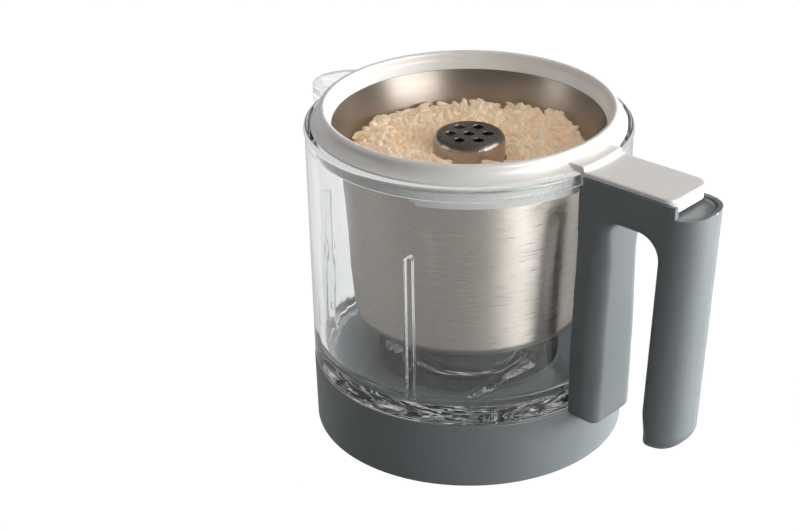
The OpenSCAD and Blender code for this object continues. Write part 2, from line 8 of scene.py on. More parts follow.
import bmesh
import bpy
import numpy as np
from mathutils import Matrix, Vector


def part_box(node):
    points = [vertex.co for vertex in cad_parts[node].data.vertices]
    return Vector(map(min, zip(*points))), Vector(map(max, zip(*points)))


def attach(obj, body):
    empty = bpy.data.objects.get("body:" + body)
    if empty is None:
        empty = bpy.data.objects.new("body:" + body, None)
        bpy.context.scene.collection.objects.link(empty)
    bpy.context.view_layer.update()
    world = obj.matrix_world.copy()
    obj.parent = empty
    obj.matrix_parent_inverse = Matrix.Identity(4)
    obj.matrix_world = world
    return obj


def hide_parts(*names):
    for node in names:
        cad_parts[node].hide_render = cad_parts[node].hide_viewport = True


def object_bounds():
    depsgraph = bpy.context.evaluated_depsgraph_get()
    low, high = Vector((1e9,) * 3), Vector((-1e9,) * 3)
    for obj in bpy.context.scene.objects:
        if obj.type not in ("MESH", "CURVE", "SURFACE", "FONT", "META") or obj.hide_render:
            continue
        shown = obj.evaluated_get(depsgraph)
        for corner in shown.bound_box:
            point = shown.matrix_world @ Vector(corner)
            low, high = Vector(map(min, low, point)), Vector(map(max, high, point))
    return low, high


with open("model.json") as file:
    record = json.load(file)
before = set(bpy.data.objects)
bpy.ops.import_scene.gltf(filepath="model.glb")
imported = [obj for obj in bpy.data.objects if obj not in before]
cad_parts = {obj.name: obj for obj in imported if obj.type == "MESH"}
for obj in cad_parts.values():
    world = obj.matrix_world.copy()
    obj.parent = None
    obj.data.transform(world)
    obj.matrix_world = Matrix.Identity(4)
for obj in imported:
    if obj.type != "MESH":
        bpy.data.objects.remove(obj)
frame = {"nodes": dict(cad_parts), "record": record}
cad_low, cad_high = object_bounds()

MM = 0.001
TURN = 2 * math.pi

# How far a ray has come. Each limit is halfway between two whole counts of turns.
NO_BOUNCE = 0.5
ONE_GLASS_WALL = 2.5
# The glass gives off a painted glow for rays past these two depths, at the brightness below above the
# foot.
GLOW_AFTER_DEPTH, GLOW_AFTER_MIRRORS = 6.5, 1.5
PAINTED_GLOW_LEVEL = 0.72


# ---------------------------------------------------------------- node helpers

class Shader:
    """A material's node tree with short calls for adding and joining nodes."""

    def __init__(self, name):
        self.material = bpy.data.materials.new(name)
        self.material.use_nodes = True
        self.tree = self.material.node_tree
        self.bsdf = self.tree.nodes["Principled BSDF"]
        self.output = self.tree.nodes["Material Output"]

    def node(self, kind, inputs=None, **settings):
        made = self.tree.nodes.new(kind)
        for key, value in settings.items():
            setattr(made, key, value)
        for key, value in (inputs or {}).items():
            self.put(made.inputs[key], value)
        return made

    def put(self, socket, value):
        """Links a socket or sets a plain value."""
        if isinstance(value, bpy.types.NodeSocket):
            self.tree.links.new(value, socket)
        else:
            socket.default_value = value

    def set(self, **inputs):
        for key, value in inputs.items():
            self.put(self.bsdf.inputs[key.replace("_", " ")], value)

    def math(self, operation, a, b=0.0):
        return self.node("ShaderNodeMath", {0: a, 1: b}, operation=operation).outputs[0]

    def coords(self):
        return self.node("ShaderNodeTexCoord").outputs["Object"]

    def vector(self, operation, a, b=(0, 0, 0)):
        return self.node("ShaderNodeVectorMath", {0: a, 1: b}, operation=operation).outputs

    def flat(self):
        """The arrow from the Z axis to the point."""
        return self.vector("MULTIPLY", self.coords(), (1, 1, 0))[0]

    def radius(self):
        """Distance from the Z axis, in metres."""
        return self.vector("LENGTH", self.flat())["Value"]

    def outwardness(self):
        """Above zero where the surface faces away from the Z axis, below zero inside a bowl."""
        normal = self.node("ShaderNodeNewGeometry").outputs["True Normal"]
        return self.vector("DOT_PRODUCT", self.flat(), normal)["Value"]

    def height(self):
        return self.node("ShaderNodeSeparateXYZ", {0: self.coords()}).outputs["Z"]

    def blend(self, fac, first, second):
        """Mixes two surfaces."""
        inputs = {0: fac, 1: first.outputs[0], 2: second.outputs[0]}
        return self.node("ShaderNodeMixShader", inputs)

    def noise(self, size_mm, detail=2.0, vector=None, roughness=0.5):
        """Noise between 0 and 1 whose features are about size_mm across."""
        inputs = {"Vector": vector or self.coords(), "Scale": 1 / (size_mm * MM), "Detail": detail}
        inputs["Roughness"] = roughness
        return self.node("ShaderNodeTexNoise", inputs).outputs["Fac"]

    def spread(self, value, low, high, from_low=0.3, from_high=0.7):
        """Maps a noise value to the range low to high."""
        inputs = {0: value, 1: from_low, 2: from_high, 3: low, 4: high}
        return self.node("ShaderNodeMapRange", inputs).outputs[0]

    def mix(self, fac, colour_a, colour_b):
        """Blends two colours; a plain number stands for a grey."""
        colour_a, colour_b = (grey(c) if isinstance(c, float) else c for c in (colour_a, colour_b))
        made = self.node("ShaderNodeMix", data_type="RGBA")
        self.put(made.inputs[0], fac)
        self.put(made.inputs[6], colour_a)
        self.put(made.inputs[7], colour_b)
        return made.outputs[2]

    def bump(self, height, depth_mm, normal=None):
        inputs = {"Height": height, "Distance": depth_mm * MM, "Strength": 1.0}
        if normal:
            inputs["Normal"] = normal
        return self.node("ShaderNodeBump", inputs).outputs[0]


def rgba(r, g, b):
    return (r, g, b, 1.0)


def grey(level):
    return rgba(level, level, level)


def shade(colour, factor):
    return rgba(*[min(1.0, c * factor) for c in colour[:3]])


# ---------------------------------------------------------------- materials

def plastic(name, colour, roughness=0.42, grain_mm=0.5, depth_mm=0.006, variation=0.04):
    """Moulded plastic: fine spark-eroded grain, faint uneven colour and gloss."""
    s = Shader(name)
    cloudy = s.noise(18, detail=3)
    s.set(Base_Color=s.mix(cloudy, shade(colour, 1 - variation), shade(colour, 1 + variation)))
    s.set(Roughness=s.spread(s.noise(6), roughness - 0.04, roughness + 0.05))
    s.set(Normal=s.bump(s.noise(grain_mm, detail=1), depth_mm), IOR=1.5)
    return s.material


def rubber(name, colour, roughness=0.75):
    """Matt rubber or silicone with a powdery, slightly uneven face."""
    s = Shader(name)
    s.set(Base_Color=s.mix(s.noise(4), shade(colour, 0.9), shade(colour, 1.1)))
    s.set(Roughness=s.spread(s.noise(1.5), roughness - 0.1, roughness + 0.1))
    s.set(Normal=s.bump(s.noise(0.4), 0.02), IOR=1.42)
    return s.material


def silicone(name, colour):
    """Translucent food-grade silicone."""
    s = Shader(name)
    s.set(Base_Color=s.mix(s.noise(5), shade(colour, 0.95), shade(colour, 1.03)))
    s.set(Roughness=s.spread(s.noise(2), 0.38, 0.5), Subsurface_Weight=0.3, IOR=1.42)
    s.set(Subsurface_Radius=(0.002, 0.002, 0.0018))
    s.set(Normal=s.bump(s.noise(0.8), 0.008))
    return s.material


def around_axis(s, round_scale, up_scale):
    """Coordinates that run slowly round Z and quickly up it, for lines left by turning or brushing."""
    xyz = s.node("ShaderNodeSeparateXYZ", {0: s.coords()}).outputs
    angle = s.math("ARCTAN2", xyz["Y"], xyz["X"])
    across = s.math("ADD", xyz["Z"], s.radius())
    joined = s.node("ShaderNodeCombineXYZ", {0: s.math("MULTIPLY", angle, round_scale),
                                             1: s.math("MULTIPLY", across, up_scale)})
    return joined.outputs[0]


def brushed_steel(name, colour, roughness=0.3, anisotropy=0.7, line_mm=0.35, dulled_inside=0.13):
    """Stainless steel brushed round the axis: streaks, warm and cool patches, stretched highlights."""
    s = Shader(name)
    lines = s.node("ShaderNodeTexNoise", {"Vector": around_axis(s, 4.0, 1 / (line_mm * MM)),
                                          "Scale": 1.0, "Detail": 4.0, "Roughness": 0.6}).outputs["Fac"]
    cloudy = s.noise(25, detail=2)
    toned = s.mix(cloudy, shade(colour, 0.94), shade(colour, 1.05))
    s.set(Base_Color=s.mix(s.spread(lines, 0.0, 0.25), toned, shade(colour, 0.8)))
    inside = s.math("LESS_THAN", s.outwardness(), 0.0)
    dulled = s.math("MULTIPLY", inside, dulled_inside)
    blur = s.math("ADD", s.spread(lines, roughness - 0.06, roughness + 0.08), dulled)
    s.set(Metallic=1.0, Roughness=blur)
    s.set(Anisotropic=anisotropy, Anisotropic_Rotation=0.25)
    tangent = s.node("ShaderNodeTangent", direction_type="RADIAL", axis="Z").outputs[0]
    s.set(Tangent=tangent, Normal=s.bump(lines, 0.0015))
    return s.material


def polished_steel(name, colour, roughness=0.16):
    """Ground and polished steel with a few fine scratches."""
    s = Shader(name)
    scratches = s.noise(1.2, detail=6, roughness=0.8)
    s.set(Base_Color=s.mix(s.noise(8), shade(colour, 0.93), shade(colour, 1.04)), Metallic=1.0)
    s.set(Roughness=s.spread(scratches, roughness - 0.05, roughness + 0.1))
    s.set(Normal=s.bump(scratches, 0.003))
    return s.material


def bronze(name):
    """Sintered bronze: porous and dull."""
    s = Shader(name)
    colour = rgba(0.42, 0.25, 0.11)
    pores = s.noise(0.35, detail=3)
    s.set(Base_Color=s.mix(s.spread(pores, 0, 1), shade(colour, 0.6), shade(colour, 1.1)), Metallic=1.0)
    s.set(Roughness=s.spread(pores, 0.35, 0.6), Normal=s.bump(pores, 0.03))
    return s.material


def clear_glass(name):
    """Pressed glass: clear and faintly wavy. Direct light goes straight through.

    Rays that stay long inside the wall are given a painted glow: pale, and near the thick foot painted
    streaks on dark."""
    s = Shader(name)
    s.set(Base_Color=rgba(0.93, 0.94, 0.945), Transmission_Weight=1.0, IOR=1.47)
    s.set(Roughness=s.spread(s.noise(3), 0.0, 0.012))
    upright = s.vector("MULTIPLY", s.coords(), (1.0, 1.0, 0.35))[0]
    s.set(Normal=s.bump(s.noise(10, detail=1.5, vector=upright), 0.14))

    path = s.node("ShaderNodeLightPath").outputs
    see_through = s.node("ShaderNodeBsdfTransparent", {"Color": rgba(0.93, 0.95, 0.95)})
    unbent = s.math("MAXIMUM", path["Is Shadow Ray"], path["Is Diffuse Ray"])
    surface = s.blend(unbent, s.bsdf, see_through)

    # Painted glow for rays that stay deep in the wall: painted streaks on dark near the foot, an even pale
    # glow higher up.
    above_foot = s.spread(s.height(), 0.0, 1.0, from_low=45 * MM, from_high=85 * MM)
    lines = {"Vector": around_axis(s, 2.6, 1 / (1.3 * MM)), "Scale": 1.0}
    rings = s.node("ShaderNodeTexNoise", lines).outputs[0]
    streaks = s.spread(rings, 0.02, 0.6, from_low=0.48, from_high=0.7)
    painted_glow_colour = s.mix(above_foot, streaks, PAINTED_GLOW_LEVEL)
    pale = s.node("ShaderNodeEmission", {"Color": painted_glow_colour, "Strength": 1.0})
    deep = s.math("MAXIMUM", s.math("GREATER_THAN", path["Ray Depth"], GLOW_AFTER_DEPTH),
                  s.math("GREATER_THAN", path["Glossy Depth"], GLOW_AFTER_MIRRORS))
    deep = s.math("MULTIPLY", deep, s.math("LESS_THAN", path["Diffuse Depth"], NO_BOUNCE))
    s.put(s.output.inputs["Surface"], s.blend(deep, surface, pale).outputs[0])
    return s.material


def cooked_rice(name):
    """Cooked grains: each its own shade from ivory to tan, slightly see-through and moist, with a faint
    painted glow.
    """
    s = Shader(name)
    tone = s.node("ShaderNodeAttribute", attribute_name="tone").outputs["Fac"]
    pale, tan = rgba(0.94, 0.79, 0.60), rgba(0.80, 0.58, 0.37)
    s.set(Base_Color=s.mix(tone, pale, tan), Roughness=s.spread(s.noise(1.5), 0.3, 0.45))
    s.set(Subsurface_Weight=0.5, Subsurface_Radius=(0.003, 0.002, 0.001), IOR=1.4)
    # Painted light: the grains give off a faint glow in their pale colour, lifting them where the pot's
    # rim shades them.
    s.set(Normal=s.bump(s.noise(0.8), 0.05), Emission_Color=pale, Emission_Strength=0.15)
    return s.material


CHARCOAL = rgba(0.135, 0.152, 0.158)
MATERIALS = {
    "clear_glass": clear_glass("clear_glass"),
    "silicone_white": silicone("silicone_white", rgba(0.78, 0.78, 0.74)),
    "charcoal_plastic": plastic("charcoal_plastic", CHARCOAL),
    "dark_plastic": plastic("dark_plastic", rgba(0.075, 0.083, 0.086), roughness=0.5),
    "grey_panel": plastic("grey_panel", rgba(0.17, 0.19, 0.195), roughness=0.36),
    "steel_fastener": polished_steel("steel_fastener", rgba(0.55, 0.55, 0.53), roughness=0.3),
    "black_rubber": rubber("black_rubber", rgba(0.03, 0.03, 0.032)),
    "bush_bronze": bronze("bush_bronze"),
    "steel_polished": polished_steel("steel_polished", rgba(0.62, 0.61, 0.59)),
    "pot_steel": brushed_steel("pot_steel", rgba(0.49, 0.435, 0.385)),
    "ring_white": plastic("ring_white", rgba(0.80, 0.775, 0.745), roughness=0.34, variation=0.015),
}
SLOT_OF = {part["node"]: part["material_slot"] for part in frame["record"]["subparts"]}


def paint(piece, slot):
    piece.data.materials.clear()
    piece.data.materials.append(MATERIALS[slot])


# ---------------------------------------------------------------- mesh helpers

def new_piece(name, mesh, sharp_deg=35):
    """Links a mesh as an object, shaded smooth up to sharp_deg."""
    mesh.shade_smooth()
    mesh.set_sharp_from_angle(angle=math.radians(sharp_deg))
    piece = bpy.data.objects.new(name, mesh)
    bpy.context.scene.collection.objects.link(piece)
    return piece


def grid_mesh(name, points):
    """A closed skin from an array of sections, (sections, points, 3) in mm, that wraps both ways."""
    rows, cols = points.shape[:2]
    index = np.arange(rows * cols).reshape(rows, cols)
    right, up = np.roll(index, -1, 0), np.roll(index, -1, 1)
    corner = np.roll(right, -1, 1)
    quads = np.stack([index, up, corner, right], -1).reshape(-1, 4)
    mesh = bpy.data.meshes.new(name)
    mesh.from_pydata((points.reshape(-1, 3) * MM).tolist(), [], quads.tolist())
    mesh.validate()
    return mesh


def refined(node, name, bevel_mm, body, sharp_deg=32, segments=2):
    """A copy of a CAD node with its edges softly rounded, which stands for that node."""
    bm = bmesh.new()
    bm.from_mesh(frame["nodes"][node].data)
    bmesh.ops.remove_doubles(bm, verts=bm.verts, dist=2e-6)
    bmesh.ops.dissolve_limit(bm, angle_limit=math.radians(0.6), verts=bm.verts, edges=bm.edges)
    if bevel_mm:
        edges = [e for e in bm.edges if len(e.link_faces) == 2
                 and e.calc_face_angle(0) > math.radians(sharp_deg)]
        bmesh.ops.bevel(bm, geom=edges, offset=bevel_mm * MM, segments=segments, profile=0.5,
                        affect="EDGES", clamp_overlap=True)
    mesh = bpy.data.meshes.new(name)
    bm.to_mesh(mesh)
    bm.free()
    piece = new_piece(name, mesh, sharp_deg=40)
    piece.modifiers.new("shading", "WEIGHTED_NORMAL").keep_sharp = True
    paint(piece, SLOT_OF[node])
    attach(piece, body)
    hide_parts(node)
    return piece


# ---------------------------------------------------------------- rounded solids

def smooth_step(t):
    t = np.clip(t, 0, 1)
    return t * t * (3 - 2 * t)


def arc(cx, cz, r, start, end, count):
    a = np.radians(np.linspace(start, end, count))
    return cx + r * np.cos(a), cz + r * np.sin(a)


def round_and(a, b, r):
    """Distance to the overlap of two solids, with the edge between them rounded to radius r."""
    return np.minimum(-r, np.maximum(a, b)) + np.hypot(np.maximum(a + r, 0), np.maximum(b + r, 0))


def round_or(a, b, r):
    """Distance to two solids joined, with a fillet of radius r in the corner between them."""
    return np.maximum(r, np.minimum(a, b)) - np.hypot(np.maximum(r - a, 0), np.maximum(r - b, 0))


def all_of(*distances):
    return np.maximum.reduce(np.broadcast_arrays(*distances))


def polygon_distance(points, px, pz):
    """Signed distance from a closed polygon in the plane, negative inside."""
    best, inside = np.full(np.shape(px), 1e18), np.zeros(np.shape(px), bool)
    for (ax, az), (bx, bz) in zip(points, np.roll(points, -1, 0)):
        ex, ez, wx, wz = bx - ax, bz - az, px - ax, pz - az
        t = np.clip((wx * ex + wz * ez) / (ex * ex + ez * ez), 0, 1)
        best = np.minimum(best, (wx - ex * t) ** 2 + (wz - ez * t) ** 2)
        if ez:
            inside ^= ((az > pz) != (bz > pz)) & (wx < ex * wz / ez)
    return np.where(inside, -1, 1) * np.sqrt(best)


def crossings(field, grid, value, axis, step):
    """Where the surface crosses the grid's edges along one axis: points and the four cells round each.

    The order of the four cells tells which way the surface faces there."""
    lower = value[tuple(slice(None, -1) if k == axis else slice(None) for k in range(3))]
    upper = value[tuple(slice(1, None) if k == axis else slice(None) for k in range(3))]
    crossed = (lower < 0) != (upper < 0)
    first, second = (axis + 1) % 3, (axis + 2) % 3
    at = np.argwhere(crossed)
    at = at[(at[:, first] > 0) & (at[:, second] > 0)]
    rising = lower[tuple(at.T)] < 0
    start = grid[tuple(at.T)]
    along = np.zeros(3)
    along[axis] = step
    low, high = np.zeros(len(at)), np.ones(len(at))
    for _ in range(9):
        middle = (low + high) / 2
        below = (field(*(start + middle[:, None] * along).T) < 0) == rising
        low, high = np.where(below, middle, low), np.where(below, high, middle)
    cells = np.repeat(at[:, None], 4, 1)
    cells[:, 1:3, first] -= 1
    cells[:, 2:4, second] -= 1
    cells = np.where(rising[:, None, None], cells, cells[:, ::-1])
    return start + ((low + high) / 2)[:, None] * along, cells


def skin(name, field, low, high, step):
    """Quad mesh of the surface where field(x, y, z) is 0, in mm.

    Each grid cell that the surface passes through has one vertex, which lies on creases too."""
    axes = [np.arange(a - 2 * step, b + 2 * step, step) for a, b in zip(low, high)]
    grid = np.stack(np.meshgrid(*axes, indexing="ij"), -1)
    value = field(*np.moveaxis(grid, -1, 0))
    found = [crossings(field, grid, value, axis, step) for axis in range(3)]
    points = np.concatenate([f[0] for f in found])
    cells = np.concatenate([f[1] for f in found])
    nudge = 0.01 * np.eye(3)
    slopes = np.stack([field(*(points + d).T) - field(*(points - d).T) for d in nudge], -1)
    slopes /= np.maximum(np.linalg.norm(slopes, axis=1, keepdims=True), 1e-9)
    ids = np.ravel_multi_index(np.moveaxis(cells, -1, 0), value.shape)
    used, owner = np.unique(ids.ravel(), return_inverse=True)
    owner = owner.ravel()

    def gather(weights):
        return np.bincount(owner, np.repeat(weights, 4), len(used))

    count = np.bincount(owner, minlength=len(used))
    middle = np.stack([gather(points[:, k]) for k in range(3)], -1) / count[:, None]
    system = np.stack([[gather(slopes[:, i] * slopes[:, j]) for j in range(3)] for i in range(3)])
    system = np.moveaxis(system, -1, 0)
    reach = np.einsum("ij,ij->i", slopes, points)
    aim = np.stack([gather(slopes[:, k] * reach) for k in range(3)], -1)
    aim -= np.einsum("nij,nj->ni", system, middle)
    steadied = system + 0.03 * count[:, None, None] * np.eye(3)
    offset = np.linalg.solve(steadied, aim[..., None])[..., 0]
    vertices = middle + np.clip(offset, -step, step)
    quads = owner.reshape(-1, 4)
    mesh = bpy.data.meshes.new(name)
    mesh.from_pydata((vertices * MM).tolist(), [], quads.tolist())
    mesh.validate()
    return mesh


def stand_in(name, mesh, node, body, sharp_deg=35):
    """A new piece that stands for a CAD node, in that node's finish."""
    piece = new_piece(name, mesh, sharp_deg)
    paint(piece, SLOT_OF[node])
    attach(piece, body)
    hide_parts(node)
    return piece


# ---------------------------------------------------------------- handle

HANDLE = dict(
    deck=134.2, wall_end=115.6, far_wall_end=108.0, bridge=122.0, spine_end=25.3, spine_x=82.5,
    spine_tilt=1.7, grip_tilt=3.4, grip_in=108.2, half_top=13.6, half_foot=15.3, half_end=14.4,
    flare_from=58.0, flare_to=112.0, bridge_x=88.0, end_depth=13.0, end_power=2.4,
    wall=2.1, seat=132.6, glass_low=69.05, glass_top=70.35,
    root_r=72.0, root_z=135.0, boss_r=4.0, boss_low=50.0, boss_high=98.0, boss_x=74.65,
    hollow_in=67.0, hollow_out=76.5, hollow_low=31.3, hollow_high=120.0, hollow_wall=2.4,
    bracket_x=74.9, bracket_half=9.3, bracket_low=28.2, bracket_high=32.2,
    grip_wall=3.4, grip_hollow_low=30.0, grip_hollow_high=133.6,
    bridge_hollow_in=88.0, bridge_hollow_out=113.2, bridge_hollow_half=9.5, bridge_hollow_low=124.4,
)


def box_mm(node):
    """A node's lowest and highest corners in mm."""
    return [tuple(c / MM for c in corner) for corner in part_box(node)]


def spine_half(z):
    """Half the spine's width: it flares out towards its foot."""
    h = HANDLE
    t = smooth_step((z - h["flare_from"]) / (h["flare_to"] - h["flare_from"]))
    return h["half_foot"] + (h["half_top"] - h["half_foot"]) * t


def plan_distance(x, y, reach):
    """Distance from the hook's plan outline: nearly straight sides and a full round end."""
    h = HANDLE
    end = reach - h["end_depth"]
    half = np.interp(x, [h["bridge_x"], end], [h["half_top"], h["half_end"]])
    u = np.maximum(x - end, 0)
    power = h["end_power"]
    full = ((u / h["end_depth"]) ** power + (np.abs(y) / h["half_end"]) ** power) ** (1 / power)
    return np.where(x < end, np.abs(y) - half, np.hypot(u, y) * (1 - 1 / np.maximum(full, 1e-6)))


def edge_radius(x, z):
    """How round the hook's long edges are: crisp at the top, soft on the grip's end and the spine."""
    body = 0.5 + 3.6 * (1 - smooth_step((z - 124) / 8))
    grip_end = 3.4 * (1 - smooth_step((z - 30) / 14))
    spine_face = 2.8 * (1 - smooth_step((z - 100) / 22))
    return body + np.where(x > 95, grip_end, spine_face)


def handle_hollows(x, y, z, leaned_x, plan):
    """Distances from the rooms inside the handle: behind the spine, at the bracket, in grip and bridge."""
    h = HANDLE
    bosses = np.minimum(np.hypot(y, z - h["boss_low"]), np.hypot(y, z - h["boss_high"]))
    spine = all_of(h["hollow_in"] - x, x - h["hollow_out"], np.abs(y) - spine_half(z) + h["hollow_wall"],
                   h["hollow_low"] - z, z - h["hollow_high"],
                   np.minimum(x - h["boss_x"], h["boss_r"] - bosses))
    bracket = all_of(x - h["bracket_x"], np.abs(y) - h["bracket_half"],
                     h["bracket_low"] - z, z - h["bracket_high"])
    grip = all_of(h["grip_in"] + h["hollow_wall"] - leaned_x, plan + h["grip_wall"],
                  h["grip_hollow_low"] - z, z - h["grip_hollow_high"])
    bridge = all_of(h["bridge_hollow_in"] - x, x - h["bridge_hollow_out"],
                    np.abs(y) - h["bridge_hollow_half"], h["bridge_hollow_low"] - z)
    return spine, bracket, grip, bridge


def handle_field(x, y, z):
    """Distance from the hook: spine on the glass, bridge with its channel, free grip."""
    h = HANDLE
    low, high = box_mm("handle_shell")
    reach, top, end_z = high[0], high[2], low[2]
    lean = math.radians(h["grip_tilt"])
    leaned_x = reach + (x - reach) * math.cos(lean) - (z - h["deck"]) * math.sin(lean)
    plan = plan_distance(leaned_x, y, reach)
    beside_spine = x < h["bridge_x"] - 1
    side = np.where(beside_spine, np.abs(y) - spine_half(z), plan)

    tilt = math.radians(h["spine_tilt"])
    face = (x - h["spine_x"]) * math.cos(tilt) + (h["bridge"] - z) * math.sin(tilt)
    spine = round_and(face, h["spine_end"] - z, 2.5)
    grip = round_and(h["grip_in"] - leaned_x, end_z - z, 4)
    hook = round_or(round_or(spine, h["bridge"] - z, 5), grip, 10)
    solid = round_and(hook, side, edge_radius(x, z))
    wall_end = np.where(y > 5, h["far_wall_end"], h["wall_end"])
    above = np.minimum(z - h["deck"], np.maximum(z - top, x - wall_end))
    solid = round_and(solid, above, 0.35)

    r = np.hypot(x, y)
    glass = np.interp(z, [30.6, 138.4], [h["glass_low"], h["glass_top"]]) - r
    channel_side = np.where(beside_spine, np.abs(y) - h["half_top"], plan) + h["wall"]
    channel = all_of(channel_side, h["seat"] - z)
    root = all_of(r - h["root_r"], h["root_z"] - z)
    solid = round_and(round_and(solid, glass, 0.4), -channel, 0.3)
    return all_of(solid, -root, *[-room for room in handle_hollows(x, y, z, leaned_x, plan)])


def make_handle():
    mesh = skin("handle_shell_fine", handle_field, *box_mm("handle_shell"), 0.75)
    return stand_in("handle_shell_fine", mesh, "handle_shell", "jug")


# ---------------------------------------------------------------- insert ring

RING = dict(
    half=12.9, core_half=10.9, tab_in=70.3, ridge_r=71.5, ridge_top=143.2, ridge_foot=140.3,
    tongue_foot=136.0, tongue_top=142.0, plate_top=141.0, plate_under=139.2,
    core_under=135.0, core_top=140.2, deep_out=64.3, deep_top=133.7, skirt_in=62.6, skirt_z=133.0,
)
# A deep segment's lower edge by its angle: it starts with a step at one end and runs out at the other
DEEP_ANGLES = (-71.4, -70.8, -69.4, -68.8, -9, -7)
DEEP_EDGE = (133, 131.5, 131.5, 129.8, 129.8, 133.1)


def ring_profile():
    """Outline of the ring's section, radius and height."""
    inner, foot = RING["skirt_in"], RING["skirt_z"]
    skirt = [(58.3, 140), (inner, 140), (inner, foot), (64.9, foot), (64.9, 134.8), (64.2, 134.8),
             (64.2, 136.8), (64.9, 136.8), (64.9, 140.1), (67, 140.1), (67, 140.9)]
    curves = (arc(67.9, 145.2, 4.4, 253, 180, 9), arc(62.2, 146.1, 1.3, 0, 90, 6),
              arc(61.4, 146.6, 0.8, 90, 180, 5))
    return np.array(skirt + [point for curve in curves for point in zip(*curve)] + [(60.3, 144)])


def rounded_box(x, y, x_end, half, corner):
    """Plan distance from a strip that ends at x_end with rounded corners."""
    return round_and(x - x_end, np.abs(y) - half, corner)


def deep_segments(x, y, z, r):
    """Distance from the two parts of the skirt that hang lower."""
    angle = np.degrees(np.arctan2(y, x))
    deep = 1e3
    for turn in (0, 180):
        off = np.mod(angle - turn + 180, 360) - 180
        foot = np.interp(off, DEEP_ANGLES, DEEP_EDGE)
        deep = np.minimum(deep, all_of(RING["skirt_in"] - r, r - RING["deep_out"], foot - z,
                                       z - RING["deep_top"], off, -80 - off))
    return deep


def ring_field(x, y, z):
    """Distance from the white ring, its skirt and the tab that lies on the handle."""
    g = RING
    tab_end = box_mm("insert_ring")[1][0]
    r = np.hypot(x, y)
    ring = polygon_distance(ring_profile(), r, z)
    strip = np.abs(y) - g["half"]
    ridge = round_and(all_of(r - g["ridge_r"], 62 - r), z - g["ridge_top"], 1.0)
    ridge = all_of(round_and(ridge, strip, 0.5), g["ridge_foot"] - z, 50 - x)
    tongue = all_of(round_and(r - g["ridge_r"], strip, 0.6), g["tab_in"] - r,
                    g["tongue_foot"] - z, z - g["tongue_top"], 50 - x)
    plate = round_and(rounded_box(x, y, tab_end, g["half"], 4.5), z - g["plate_top"], 0.8)
    plate = round_and(plate, g["plate_under"] - z, 0.3)
    core = round_and(rounded_box(x, y, tab_end, g["core_half"], 3.5), g["core_under"] - z, 0.5)
    core = all_of(core, z - g["core_top"])
    tab = all_of(np.minimum(plate, core), g["tab_in"] - r, 60 - x)
    tab = all_of(round_or(np.minimum(ridge, tongue), tab, 1.6), strip)
    return np.minimum.reduce([ring, deep_segments(x, y, z, r), tab])


def make_ring():
    mesh = skin("insert_ring_fine", ring_field, *box_mm("insert_ring"), 0.7)
    return stand_in("insert_ring_fine", mesh, "insert_ring", "insert")


# ---------------------------------------------------------------- glass bowl

GLASS = dict(
    floor_z=35.5, under_z=30.7, fillet=9.0, bore_foot=63.9, bore_ledge=64.6, bore_top=65.3,
    ledge_z=132.95, lip=1.4, bead_z=138.4, foot=68.5, hole=13.0,
    rib_face=60.5, rib_w=2.0, rib_top=106.0, ribs=5,
    vane_line=33.8, vane_w=3.1, vane_h=2.5, vanes=3,
    spout_w=14.6, channel_w=10.4, spout_lip=4.0, spout_root_z=125.0, spout_tip_z=133.7,
    spout_droop=0.065,
)


def glass_angles():
    """Angles of the sections: close together at the ribs and at the spout."""
    angles = list(np.radians(np.arange(0, 360, 1.5)))
    for i in range(GLASS["ribs"]):
        middle = TURN * i / GLASS["ribs"]
        angles += list(middle + np.radians(np.linspace(-2.6, 2.6, 27)))
    angles += list(math.pi + np.radians(np.linspace(-13, 13, 101)))
    angles = np.unique(np.round(np.mod(angles, TURN), 5))
    return angles[np.append(True, np.diff(angles) > 0.0006)]


def vane_height(x, y):
    """Height of the swirl vanes over the bowl's floor."""
    height = np.zeros_like(x)
    for i in range(GLASS["vanes"]):
        a = TURN * i / GLASS["vanes"]
        across = x * math.cos(a) + y * math.sin(a) - GLASS["vane_line"]
        along = -x * math.sin(a) + y * math.cos(a)
        bump = np.sqrt(np.clip(1 - (across / GLASS["vane_w"]) ** 2, 0, 1))
        height = np.maximum(height, GLASS["vane_h"] * bump * smooth_step((1.5 - along) / 3))
    return height


def rib_limit(angle, z, r):
    """Inner radius where an upright rib stands proud of the wall, else a large value."""
    off = np.mod(angle + math.pi / GLASS["ribs"], TURN / GLASS["ribs"]) - math.pi / GLASS["ribs"]
    across = np.abs(off * r)
    above = np.clip(z - (GLASS["rib_top"] - GLASS["rib_w"]), 0, GLASS["rib_w"])
    half = np.sqrt(GLASS["rib_w"] ** 2 - above ** 2)
    inside = (z < GLASS["rib_top"]) & (across < half)
    nose = np.sqrt(np.clip(1 - (across / np.maximum(half, 1e-6)) ** 2, 0, 1)) ** 0.7
    return np.where(inside, r - (r - GLASS["rib_face"]) * nose, 1e3)


def spout_reach(angle, half_width, reach):
    """Distance from the axis to a round-ended slot's outline at this angle, or 0 beside it."""
    off = np.mod(angle, TURN) - math.pi
    centre = reach - half_width
    y_at_tip = centre * np.sin(off)
    on_round = centre * np.cos(off) + np.sqrt(np.clip(half_width ** 2 - y_at_tip ** 2, 0, None))
    on_side = half_width / np.maximum(np.abs(np.sin(off)), 1e-6)
    outline = np.where(on_round * np.cos(off) > centre, on_round, on_side)
    return np.where(np.abs(off) < math.radians(40), outline, 0.0)


